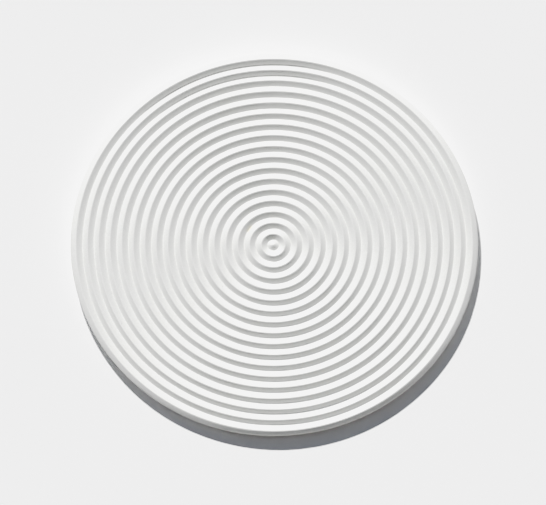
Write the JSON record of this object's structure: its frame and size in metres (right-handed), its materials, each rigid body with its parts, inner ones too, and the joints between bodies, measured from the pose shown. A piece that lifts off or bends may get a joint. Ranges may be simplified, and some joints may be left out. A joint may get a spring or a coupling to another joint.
{
  "type": "plaster mold",
  "caption": "Round flat plaster press mold whose working face carries concentric V-shaped ridges around a small centre dome, for forming rippled clay plates.",
  "frame": {"origin": "centre of the flat back, on the surface that the mold rests on", "axes": "+Z is the mold's axis and points out of the rippled face; X and Y lie in the back face, and the mold is round, so their direction is arbitrary"},
  "size_m": [0.35, 0.35, 0.014],
  "materials": {
    "face_plaster": "matte",
    "backing_plaster": "matte",
    "jute_scrim": "matte",
    "galvanised_wire": "satin"
  },
  "bodies": {
    "root": {"face_coat": "face_plaster", "backing_coat": "backing_plaster", "scrim": "jute_scrim", "wire_hoop": "galvanised_wire"}
  },
  "joints": []
}
